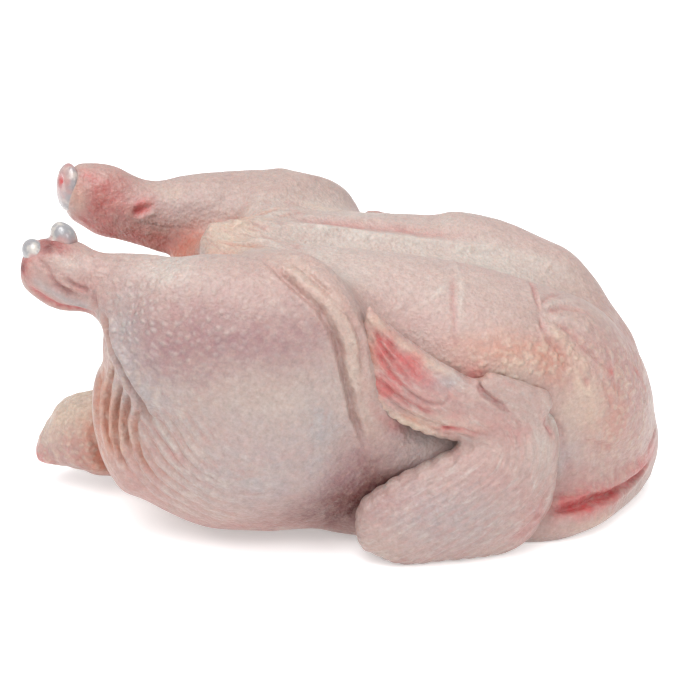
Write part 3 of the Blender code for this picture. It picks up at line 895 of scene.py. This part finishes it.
class Finish:
    """A material made one node at a time."""

    def __init__(self, name):
        self.material = bpy.data.materials.new(name)
        self.material.use_nodes = True
        self.tree = self.material.node_tree
        self.shader = self.tree.nodes["Principled BSDF"]
        self.place = self.node("ShaderNodeTexCoord", output="Object")

    def node(self, kind, settings=None, sockets=None, output=None):
        """Add a node: its settings first, then its sockets' values or links.  The result is one output."""
        made = self.tree.nodes.new(kind)
        for name, value in (settings or {}).items():
            setattr(made, name, value)
        self.plug(made, sockets or {})
        known = {socket.identifier: socket for socket in made.outputs}
        return Wire(self, known[output] if output else made.outputs[0])

    def plug(self, node, sockets):
        known = {socket.identifier: socket for socket in node.inputs}
        for name, value in sockets.items():
            if isinstance(value, Wire):
                self.tree.links.new(value.socket, known[name])
            else:
                known[name].default_value = value

    def mark(self, name):
        return self.node("ShaderNodeAttribute", {"attribute_name": name}, output="Fac")

    def mist(self, size, detail=3.0, roughness=0.55, place=None):
        """Smooth noise from 0 to 1, with features of the given size in millimetres."""
        sockets = {
            "Vector": place or self.place, "Scale": 1 / (size * MILLIMETRE), "Detail": detail,
            "Roughness": roughness,
        }
        return self.node("ShaderNodeTexNoise", {}, sockets, "Fac")

    def cells(self, size, place=None, settings=None, randomness=1.0):
        """Distance to the nearest of scattered points, in units of their spacing."""
        sockets = {"Vector": place or self.place, "Scale": 1 / (size * MILLIMETRE), "Randomness": randomness}
        return self.node("ShaderNodeTexVoronoi", settings, sockets, "Distance")

    def eased(self, value, low, high, start=0.0, end=1.0):
        """From start to end, smoothly, as the value goes from low to high."""
        sockets = {"Value": value, "From Min": low, "From Max": high, "To Min": start, "To Max": end}
        return self.node("ShaderNodeMapRange", {"interpolation_type": "SMOOTHSTEP"}, sockets, "Result")

    def split(self, place):
        apart = self.node("ShaderNodeSeparateXYZ", {}, {"Vector": place})
        return [Wire(self, socket) for socket in apart.socket.node.outputs]

    def mixed(self, share, first, second):
        """From the first colour to the second as the share goes from 0 to 1."""
        settings = {"data_type": "RGBA", "clamp_factor": True}
        sockets = {"Factor_Float": share, "A_Color": as_colour(first), "B_Color": as_colour(second)}
        return self.node("ShaderNodeMix", settings, sockets, "Result_Color")

    def dimmed(self, colour, share):
        """A colour times a number."""
        return self.node("ShaderNodeVectorMath", {"operation": "SCALE"}, {"Vector": colour, "Scale": share})

    def finish(self, colour, roughness, height, **constants):
        """Plug in what changes over the surface, and set the rest on the shader's own sockets."""
        bump = self.node("ShaderNodeBump", {}, {"Height": height, "Distance": MILLIMETRE, "Strength": 1.0})
        self.plug(self.shader, {"Base Color": colour, "Roughness": roughness, "Normal": bump})
        self.plug(self.shader, {name.replace("_", " "): value for name, value in constants.items()})
        return self.material


def as_colour(value):
    return value if isinstance(value, Wire) else (*value, 1.0)


def skin_finish(context):
    """Damp skin: a mottled ground, then each stain in turn, with streaks along the wrinkles, white follicle
    tips that are partly painted glints, and relief from streaks, follicles, pimples and a fine crackle."""
    finish = Finish("chicken_skin")
    colours, sizes = context.scene.chicken_colours, context.scene.chicken_sizes
    broad, middling, fine = finish.mist(34, 2), finish.mist(8, 4, 0.6), finish.mist(1.3, 3, 0.7)
    along, _, level = finish.split(finish.place)
    flow = finish.node(
        "ShaderNodeCombineXYZ", {}, {"X": finish.mark("grain"), "Y": along * 110.0, "Z": level * 110.0}
    )
    streak = finish.node(
        "ShaderNodeTexNoise", {}, {"Vector": flow, "Scale": 1.0, "Detail": 3.0, "Roughness": 0.6}, "Fac"
    )
    ripple, follicle, pimple = (finish.mark(name) for name in ("ripple", "follicle", "pimple"))
    grid = finish.node("ShaderNodeAttribute", {"attribute_name": "grid"}, output="Vector")
    tips = finish.cells(1000, grid, {"voronoi_dimensions": "2D"}, 0.55)
    tip = finish.eased(tips, 0.04, 0.40, 1.0, 0.0)
    bead = finish.eased(finish.cells(2.6, settings={"feature": "SMOOTH_F1"}), 0.15, 0.55, 1.0, 0.0)
    crackle = finish.cells(1.5, settings={"feature": "F1"})

    veins = [
        finish.eased((finish.mist(size, 4, 0.62) - 0.5).unsigned(), 0.0, width, 1.0, 0.0)
        for size, width in ((13, 0.022), (4.2, 0.035))
    ]
    colour = finish.mixed((broad * 1.5 + middling * 1.4 - 0.95).clamped(), colours.plain, colours.flush)
    ragged = (middling - 0.5) * 1.6
    for kind in STAINS:
        amount = finish.mark(kind)
        share = (amount * (1.0 + ragged) + (fine - 0.5) * 0.5 * amount).clamped()
        colour = finish.mixed(share, colour, getattr(colours, kind))
    colour = finish.mixed(veins[0] * 0.14, colour, colours.rose)
    colour = finish.mixed(veins[1] * 0.10, colour, colours.pale)
    trough = finish.eased(streak, 0.30, 0.5, 1.0, 0.0)
    crest = finish.eased(streak, 0.52, 0.72)
    colour = finish.mixed(trough * ripple * 0.45, colour, colours.rose)
    colour = finish.mixed(crest * ripple * 0.5, colour, colours.pale)
    # Pale follicle tips: the follicles' own paler colour, with painted glints on the bumps.
    colour = finish.mixed(tip * follicle * 0.40, colour, colours.pale)
    colour = finish.mixed(bead * pimple * 0.55, colour, colours.fat)
    colour = finish.dimmed(colour, 0.94 + (fine - 0.5) * 0.5 + (finish.mist(3.2, 3) - 0.5) * 0.4)

    height = (
        (streak - 0.5) * ripple * (sizes.ripple_depth * 2400)
        + tip * follicle * (sizes.follicle_depth * 1000)
        + bead * pimple * 0.45
        + crackle * 0.24
        + fine * 0.3
        + middling * 0.5
        - veins[1] * 0.04
    )
    wet = crest * ripple * 0.06 + finish.mark("gloss") * 0.14
    roughness = (0.40 + (middling - 0.5) * 0.25 - wet).clamped()
    return finish.finish(
        colour, roughness, height, Subsurface_Weight=0.32, Subsurface_Radius=(1.0, 0.4, 0.28),
        Subsurface_Scale=0.0022, IOR=1.42,
    )


def gristle_finish(context):
    """Wet joint ends: smooth blue-white caps that turn pink and red where flesh clings to them."""
    finish = Finish("chicken_gristle")
    colours = context.scene.chicken_colours
    patches, fine = finish.mist(5, 3), finish.mist(0.9, 3)
    colour = finish.mixed(finish.eased(patches, 0.45, 0.7), colours.gristle, colours.pale)
    # The darkest of these is painted shade in the grooves as well as flesh.
    for kind in ("rose", "fat", "blood", "flesh_and_shade"):
        share = (finish.mark(kind) * (0.6 + patches * 0.9)).clamped()
        colour = finish.mixed(share, colour, getattr(colours, kind))
    colour = finish.dimmed(colour, 0.9 + fine * 0.2)
    return finish.finish(
        colour, 0.16 + patches * 0.16, fine * 0.06 + patches * 0.2, Subsurface_Weight=0.15,
        Subsurface_Radius=(1.0, 0.8, 0.7), Subsurface_Scale=0.0012, Coat_Weight=0.6, Coat_Roughness=0.08,
    )


# ---------------------------------------------------------------- the pieces
def left_and_right(shapes):
    return shapes + [mirrored(shape) for shape in shapes]


def leg_grid(places, side):
    """Places on a drumstick's skin in follicle spacings.  The skin is unrolled to u along the bone and v, the
    angle round it times the leg's own radius; the follicles' rows run along u + v and u - v."""
    rows = eased(LEFT_DRUMSTICK if side == 1 else RIGHT_DRUMSTICK, 6) * (1, side, 1, 1, 1)
    distance, along, offset = nearest(places, rows[:, :3])
    at = along * (len(rows) - 1)
    tangent = unit(np.gradient(rows[:, :3], axis=0))
    index = np.arange(len(rows))
    bone = np.stack([np.interp(at, index, tangent[:, axis]) for axis in range(3)], -1)
    rise = unit(np.cross(bone, OUTWARD))
    angle = np.arctan2((offset * rise).sum(-1), -side * offset[:, 1])
    length = np.concatenate([[0], np.cumsum(np.linalg.norm(np.diff(rows[:, :3], axis=0), axis=1))])
    u = np.interp(at, index, length)
    v = angle * np.interp(at, index, rows[:, 3:].mean(1))
    return np.stack([(u + v) / 5.8, (u - v) / 6.4, np.zeros_like(u)], -1)


def swell_body(skin):
    """Slow and quick unevenness all over, and the swellings that meet the wings."""
    places = skin.rest
    skin.raise_by(cloud(places, 26, 11, 2) * 0.9 + cloud(places, 9, 12, 2) * 0.22)
    for middle, reach, height in UNDER_WING:
        skin.raise_by(height * blob(np.abs(places), middle, reach))


def line_body(skin):
    """Every line and stain of the body and legs.  The right side's lines are fainter and wander further."""
    for side, seed, strength, on_breast, wander in ((1, 20, 1.0, 1.0, 1.0), (-1, 40, 0.85, 0.35, 2.6)):
        skin.draw(BREAST_LINES, seed, side, on_breast, wander)
        for lines in (APRON_LINES, FLANK_LINES, LEG_LINES, NECK_LINES, TAIL_LINES):
            skin.draw(lines, seed, side, strength, wander)
        skin.spill(BODY_STAINS, seed, side)
    skin.draw(KEEL_LINES, 60)
    skin.draw(FAR_LEG_LINES, 63)
    skin.spill(FAR_LEG_STAINS, 61)
    skin.spill(NEAR_LEG_STAINS, 62)


def lump_body(skin):
    """Fat lumps on the tail and the flap's tip, torn bare meat, a pit in the breast and the leg's crook."""
    places = skin.rest
    skin.raise_by(blob(places, *TAIL_FAT) * (2.2 * cloud(places, 8, 70, 2) + 0.6 * cloud(places, 3, 71, 2)))
    skin.raise_by(blob(places, *FLAP_TIP) * (1.5 * cloud(places, 7, 72, 2) + 0.4 * cloud(places, 2.6, 73, 2)))
    skin.raise_by(-1.6 * blob(places, *BREAST_PIT) - 3.5 * blob(places, *LEG_CROOK))
    skin.raise_by(np.clip(skin.marks["bare"], 0, 1) * (0.9 * cloud(places, 8, 74, 3) - 0.5))


def wrinkle_body(skin):
    """Wrinkles ring the thigh about the knee, deepest toward the tail: |sin(pi * distance / spacing)|.  Finer
    ones, left to the finish, fan out from the flap's tip and run down the neck's front."""
    places = skin.rest
    along, out, level = places.T
    ring = np.hypot(along - KNEE_MIDDLE[0], level - KNEE_MIDDLE[1])
    flank = smooth_step(np.abs(out), 48, 62) * smooth_step(90 - ring, 0, 30) * smooth_step(ring, 14, 30)
    flank *= smooth_step(20 - along, 0, 16)
    deep = blob(places * SIDE_ON, *THIGH_REAR) * flank
    waves = np.abs(np.sin(np.pi * ring / RING_SPACING + 1.6 * cloud(places, 14, 80, 2)))
    skin.raise_by(deep * (0.95 * waves + 0.25 * cloud(places * (1, 0.4, 1), 4, 81, 2)))
    skin.stain("fold", deep * smooth_step(waves, 0.45, 0.0) * 0.5)
    skin.stain("pale", deep * smooth_step(waves, 0.7, 1.0) * 0.35)

    flap = blob(places, *FLAP)
    front = smooth_step(along, 96, 118) * (1 - smooth_step(level, 78, 96))
    fan = np.arctan2(np.abs(out) + 6, along + 66) * 12
    rays = np.arctan2(out, along - 84) * 24
    skin.marks["grain"] = np.where(front > 0.02, rays, np.where(flap > 0.1, fan, ring / 3.3))
    ripple = np.clip(0.34 * flank + deep, 0, 1) * (1 - smooth_step(flap, 0.05, 0.1))
    ripple += 0.8 * smooth_step(flap, 0.1, 0.4) + 0.5 * smooth_step(front, 0.02, 0.5)
    skin.marks["ripple"] = ripple


def stipple_body(skin):
    """Where follicles, pimples and gloss show, and the scales of the ankles: sin of the grid's first row."""
    places = skin.rest
    out = places[:, 1]
    torn = np.clip(skin.marks["bare"], 0, 1)
    grid = np.where(out[:, None] < 0, leg_grid(places, 1), leg_grid(places, -1))
    drum = blob(places * SIDE_ON, *DRUM_SKIN) * smooth_step(np.abs(out), 30, 44)
    scaly = blob(places * SIDE_ON, *ANKLE_SCALES) * drum
    scales = np.sin(2 * np.pi * grid[:, 0] * 1.7 + 2 * cloud(places, 7, 82, 2))
    skin.raise_by(scaly * (1 - torn) * 0.3 * scales)
    skin.marks["follicle"] = np.clip(drum * 0.6 + scaly, 0, 1) * (1 - torn)
    pimple = 0.25 + blob(places, *TAIL_FAT)
    for patch in PIMPLES:
        pimple += blob(np.abs(places), *patch)
    skin.marks["pimple"] = np.clip(pimple, 0, 1)
    skin.marks["gloss"] = blob(places, *DRUM_GLOSS) + torn
    return grid


class CHICKEN_OT_body(bpy.types.Operator):
    """Make the body and legs: muscles fused under one stretched skin, hollowed at the vent, then creased"""

    bl_idname = "chicken.body"
    bl_label = "Body and legs"

    def execute(self, context):
        shapes = [muscle(RIB_CAGE, (8, 4), ALONG), muscle(BREASTBONE, (3, 4)), muscle(TAIL, (3, 5))]
        shapes += [muscle(LEFT_DRUMSTICK, (8, 5)), mirrored(muscle(RIGHT_DRUMSTICK, (8, 3)))]
        shapes += [mirrored(muscle(FAR_BREAST, (8, 8), ALONG))]
        shapes += [muscle(REAR_FOLD, (5, 5)), mirrored(muscle(REAR_FOLD[2:], (5, 5)))]
        shapes += left_and_right([
            muscle(BREAST, (5, 3), ALONG),
            muscle(THIGH, (8, 6), ALONG),
            muscle(KNEE, (10, 8)),
            muscle(GROIN, (6, 6)),
            muscle(BELLY_SKIN, (5, 4)),
            muscle(UNDERARM, (6, 6), ALONG),
            muscle(FLANK_SKIN, (4, 4), up=OUTWARD),
            muscle(NECK_SKIN, (6, 6)),
        ])
        frame_skin = Skin(fused(mesh_from(joined(shapes)), FRAME_GRAIN))
        frame_skin.stretch(STRETCH_PASSES)
        frame_skin.soften(SOFTEN_PASSES)
        hollow = bpy.data.objects.new("hollow", mesh_from(muscle(VENT, (30, 10), sides=32)))
        context.scene.collection.objects.link(hollow)
        cut = worked(frame_skin.mesh, ("BOOLEAN", {"operation": "DIFFERENCE", "object": hollow}))
        bpy.data.objects.remove(hollow)
        grain = context.scene.chicken_sizes.body_grain / MILLIMETRE
        skin = Skin(fused(cut, grain))
        skin.soften(4)
        swell_body(skin)
        line_body(skin)
        lump_body(skin)
        wrinkle_body(skin)
        grid = stipple_body(skin)
        body = skin.finished("body_skin", skin_finish(context), grid)
        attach(body, "root")
        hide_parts("chicken")
        return {"FINISHED"}


def crease_wing(skin, side, seed):
    """The creased web of the hand, the long fine wrinkles of the arm and the scalloped edges of both."""
    places = skin.rest
    skin.raise_by(cloud(places, 16, seed, 2) * 0.5 + cloud(places, 5, seed + 1, 2) * 0.12)
    skin.draw(HAND_LINES + ARM_LINES, seed + 2, side, 1.0 if side == 1 else 0.85, 0.6 if side == 1 else 1.6)
    skin.spill(HAND_STAINS + ARM_STAINS, seed + 3, side, 1.0 if side == 1 else 0.8)

    level = places * SIDE_ON
    from_arm, _, _ = nearest(level, ARM_BONE)
    from_hand, _, _ = nearest(level, HAND_BONE)
    above = places[:, 2] - 51 - 0.32 * (56 - places[:, 0])
    hand = smooth_step(above, -2, 4) * smooth_step(66 - places[:, 0], 0, 8)
    hand = np.where(places[:, 2] < 50, 0, hand)
    grain = np.where(hand > 0.5, from_hand / 2.2 + 40, from_arm / 1.9)
    skin.marks["grain"] = grain
    skin.marks["ripple"] = 0.75 * np.abs(2 * hand - 1)
    skin.raise_by(np.abs(hand - 0.5) * 0.34 * np.sin(grain * 3.6 + 2 * cloud(places, 9, seed + 5, 2)))

    for rim, length in ((HAND_RIM, 56), (ARM_RIM, 22)):
        distance, along, _ = nearest(level, eased(rim, 6))
        scallop = np.abs(np.sin(np.pi * along * length / SCALLOP)) - 0.5
        skin.raise_by(np.exp(-((distance / 2.4) ** 2)) * 0.7 * scallop)
    skin.marks["follicle"] = np.zeros(len(places))
    skin.marks["pimple"] = np.full(len(places), 0.2)
    skin.marks["gloss"] = np.zeros(len(places))


class CHICKEN_OT_wings(bpy.types.Operator):
    """Make the two folded wings: the arm along the ground, the hand laid back over it, the thumb between"""

    bl_idname = "chicken.wings"
    bl_label = "Wings"

    def execute(self, context):
        grain = context.scene.chicken_sizes.wing_grain / MILLIMETRE
        for name, side, hand, seed in (("left_wing", 1, LEFT_HAND, 100), ("right_wing", -1, RIGHT_HAND, 120)):
            parts = [muscle(ARM, (7, 4), ALONG), muscle(hand, (3, 2.5), ALONG), muscle(THUMB, (3, 3))]
            if side == -1:
                parts = [mirrored(part) for part in parts]
            rough = Skin(fused(mesh_from(joined(parts)), ROUGH_WING_GRAIN))
            rough.soften(2)
            rough.stretch(30)
            rough.soften(2)
            skin = Skin(fused(rough.mesh, grain))
            skin.soften(5)
            crease_wing(skin, side, seed)
            wing = skin.finished(name, bpy.data.materials["chicken_skin"])
            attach(wing, "root")
        return {"FINISHED"}


class CHICKEN_OT_joints(bpy.types.Operator):
    """Make the bared hock joints: two gristle wheels and a saddle on the left, an oval plate on the right"""

    bl_idname = "chicken.joints"
    bl_label = "Hock joints"

    def execute(self, context):
        grain = context.scene.chicken_sizes.joint_grain / MILLIMETRE
        axle = np.subtract(OUTER_WHEEL, INNER_WHEEL)
        end = np.array(SHANK_END)
        middle = 0.5 * (end + SHANK_ROOT)
        shapes = [
            muscle([(*SHANK_ROOT, 4.2, 4.2), (*middle, 4.2, 4.2), (*end, 5.7, 5.7)], (1.5, 2)),
            ball(end + (-1, 0, 1), (7.0, 5.6, 5.6), axle),
            ball(INNER_WHEEL, WHEEL_REACH, axle),
            ball(OUTER_WHEEL, WHEEL_REACH, axle),
        ]
        plate = [mirrored(shapes[0]), mirrored(ball(PLATE, PLATE_REACH, PLATE_FACING))]
        material = gristle_finish(context)
        for name, side, parts, heads, head_size in (
            ("left_knuckle", 1, shapes, (INNER_WHEEL, OUTER_WHEEL), 7.0),
            ("right_knuckle", -1, plate, (PLATE,), 10.5),
        ):
            skin = Skin(fused(mesh_from(joined(parts)), grain))
            skin.stretch(12)
            skin.soften(4)
            places = skin.rest
            skin.raise_by(cloud(places, 5, 140, 2) * 0.3)
            away = [np.linalg.norm(places - np.multiply(head, (1, side, 1)), axis=1) for head in heads]
            clear = np.min(away, axis=0)
            groove = smooth_step(clear, head_size - 0.2, head_size + 1.4)
            rough = cloud(places, 3, 141, 3)
            skin.raise_by(groove * rough * 0.9)
            skin.stain("blood", groove * smooth_step(rough, -0.4, 0.3))
            # The groove round the wheels and plate is darkened: dark flesh and painted shade.
            skin.stain("flesh_and_shade", groove * smooth_step(cloud(places, 2.4, 142, 2), -0.1, 0.5))
            pit = blob(places, PLATE_PIT, 2.3)
            skin.raise_by(-1.6 * pit)
            skin.stain("blood", 1.4 * pit)
            skin.stain("rose", 0.8 * blob(places, PLATE_PIT, (6, 6, 9)))
            skin.stain("rose", 0.7 * smooth_step(cloud(places, 6, 143, 2), 0.1, 0.5))
            piece = skin.finished(f"{name}_cap", material)
            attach(piece, "root")
            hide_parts(name)
        return {"FINISHED"}


# ---------------------------------------------------------------- the studio
CAMERA_REACH = 0.850
CAMERA_RISE = math.radians(20)
CAMERA_AIM = Vector((-0.0028, 0.0, 0.068))
CAMERA_LENS = 102.97
FLOOR_HALF = 4.0
SKY = (0.97, 0.985, 1.0, 1)
SKY_STRENGTH = 0.74
# Name, kind, place, power, and the angle of a sun or the size of an area.
LAMPS = (
    ("window", "SUN", (-0.35, -0.45, 1.0), 1.9, math.radians(50)),
    ("softbox", "AREA", (-0.15, -0.20, 1.0), 4.5, 0.55),
    ("fill", "SUN", (0.1, -1.0, 0.40), 0.55, math.radians(70)),
    ("side_box", "AREA", (0.75, -0.75, 0.75), 3.0, 0.45),
)


class CHICKEN_OT_stage(bpy.types.Operator):
    """Make the floor, the lights and the camera"""

    bl_idname = "chicken.stage"
    bl_label = "Studio"

    def execute(self, context):
        scene = context.scene
        away = Vector((0, -math.cos(CAMERA_RISE), math.sin(CAMERA_RISE)))
        camera = bpy.data.objects.new("camera", bpy.data.cameras.new("camera"))
        scene.collection.objects.link(camera)
        camera.location = CAMERA_AIM + CAMERA_REACH * away
        camera.rotation_euler = (-away).to_track_quat("-Z", "Y").to_euler()
        camera.data.lens = CAMERA_LENS
        camera.data.clip_start = 0.01
        scene.camera = camera

        mesh = bpy.data.meshes.new("floor")
        corners = [(x * FLOOR_HALF, y * FLOOR_HALF, 0) for x, y in ((-1, -1), (1, -1), (1, 1), (-1, 1))]
        mesh.from_pydata(corners, [], [(0, 1, 2, 3)])
        floor = bpy.data.objects.new("floor", mesh)
        scene.collection.objects.link(floor)
        white = Finish("studio_floor")
        white.plug(white.shader, {
            "Base Color": (0.95, 0.95, 0.95, 1), "Roughness": 0.35, "Emission Color": (1, 1, 1, 1),
            "Emission Strength": 0.32,
        })
        mesh.materials.append(white.material)

        world = bpy.data.worlds.new("studio")
        world.use_nodes = True
        sky = world.node_tree.nodes["Background"].inputs
        sky["Color"].default_value = SKY
        sky["Strength"].default_value = SKY_STRENGTH
        scene.world = world
        for row in LAMPS:
            self.lamp(scene, *row)
        scene.view_settings.view_transform = "Standard"
        return {"FINISHED"}

    @staticmethod
    def lamp(scene, name, kind, place, power, size):
        light = bpy.data.lights.new(name, kind)
        light.energy = power
        if kind == "SUN":
            light.angle = size
        else:
            light.size = size
        made = bpy.data.objects.new(name, light)
        scene.collection.objects.link(made)
        made.location = place
        made.rotation_euler = (Vector((0, 0, 0.05)) - Vector(place)).to_track_quat("-Z", "Y").to_euler()


class CHICKEN_PT_sidebar(bpy.types.Panel):
    """Lists the bird's pieces and its sizes and colours"""

    bl_idname = "CHICKEN_PT_sidebar"
    bl_label = "Raw chicken"
    bl_space_type = "VIEW_3D"
    bl_region_type = "UI"
    bl_category = "Chicken"

    def draw(self, context):
        for operator in OPERATORS:
            self.layout.operator(operator.bl_idname)
        for group in (context.scene.chicken_sizes, context.scene.chicken_colours):
            for name in group.__annotations__:
                self.layout.prop(group, name)


OPERATORS = (CHICKEN_OT_body, CHICKEN_OT_wings, CHICKEN_OT_joints, CHICKEN_OT_stage)
CLASSES = (ChickenSizes, ChickenColours, *OPERATORS, CHICKEN_PT_sidebar)


def register():
    for item in CLASSES:
        bpy.utils.register_class(item)
    bpy.types.Scene.chicken_sizes = PointerProperty(type=ChickenSizes)
    bpy.types.Scene.chicken_colours = PointerProperty(type=ChickenColours)


def unregister():
    del bpy.types.Scene.chicken_colours
    del bpy.types.Scene.chicken_sizes
    for item in reversed(CLASSES):
        bpy.utils.unregister_class(item)


def main():
    register()
    bpy.ops.chicken.body()
    bpy.ops.chicken.wings()
    bpy.ops.chicken.joints()
    bpy.ops.chicken.stage()


if __name__ == "__main__":
    main()
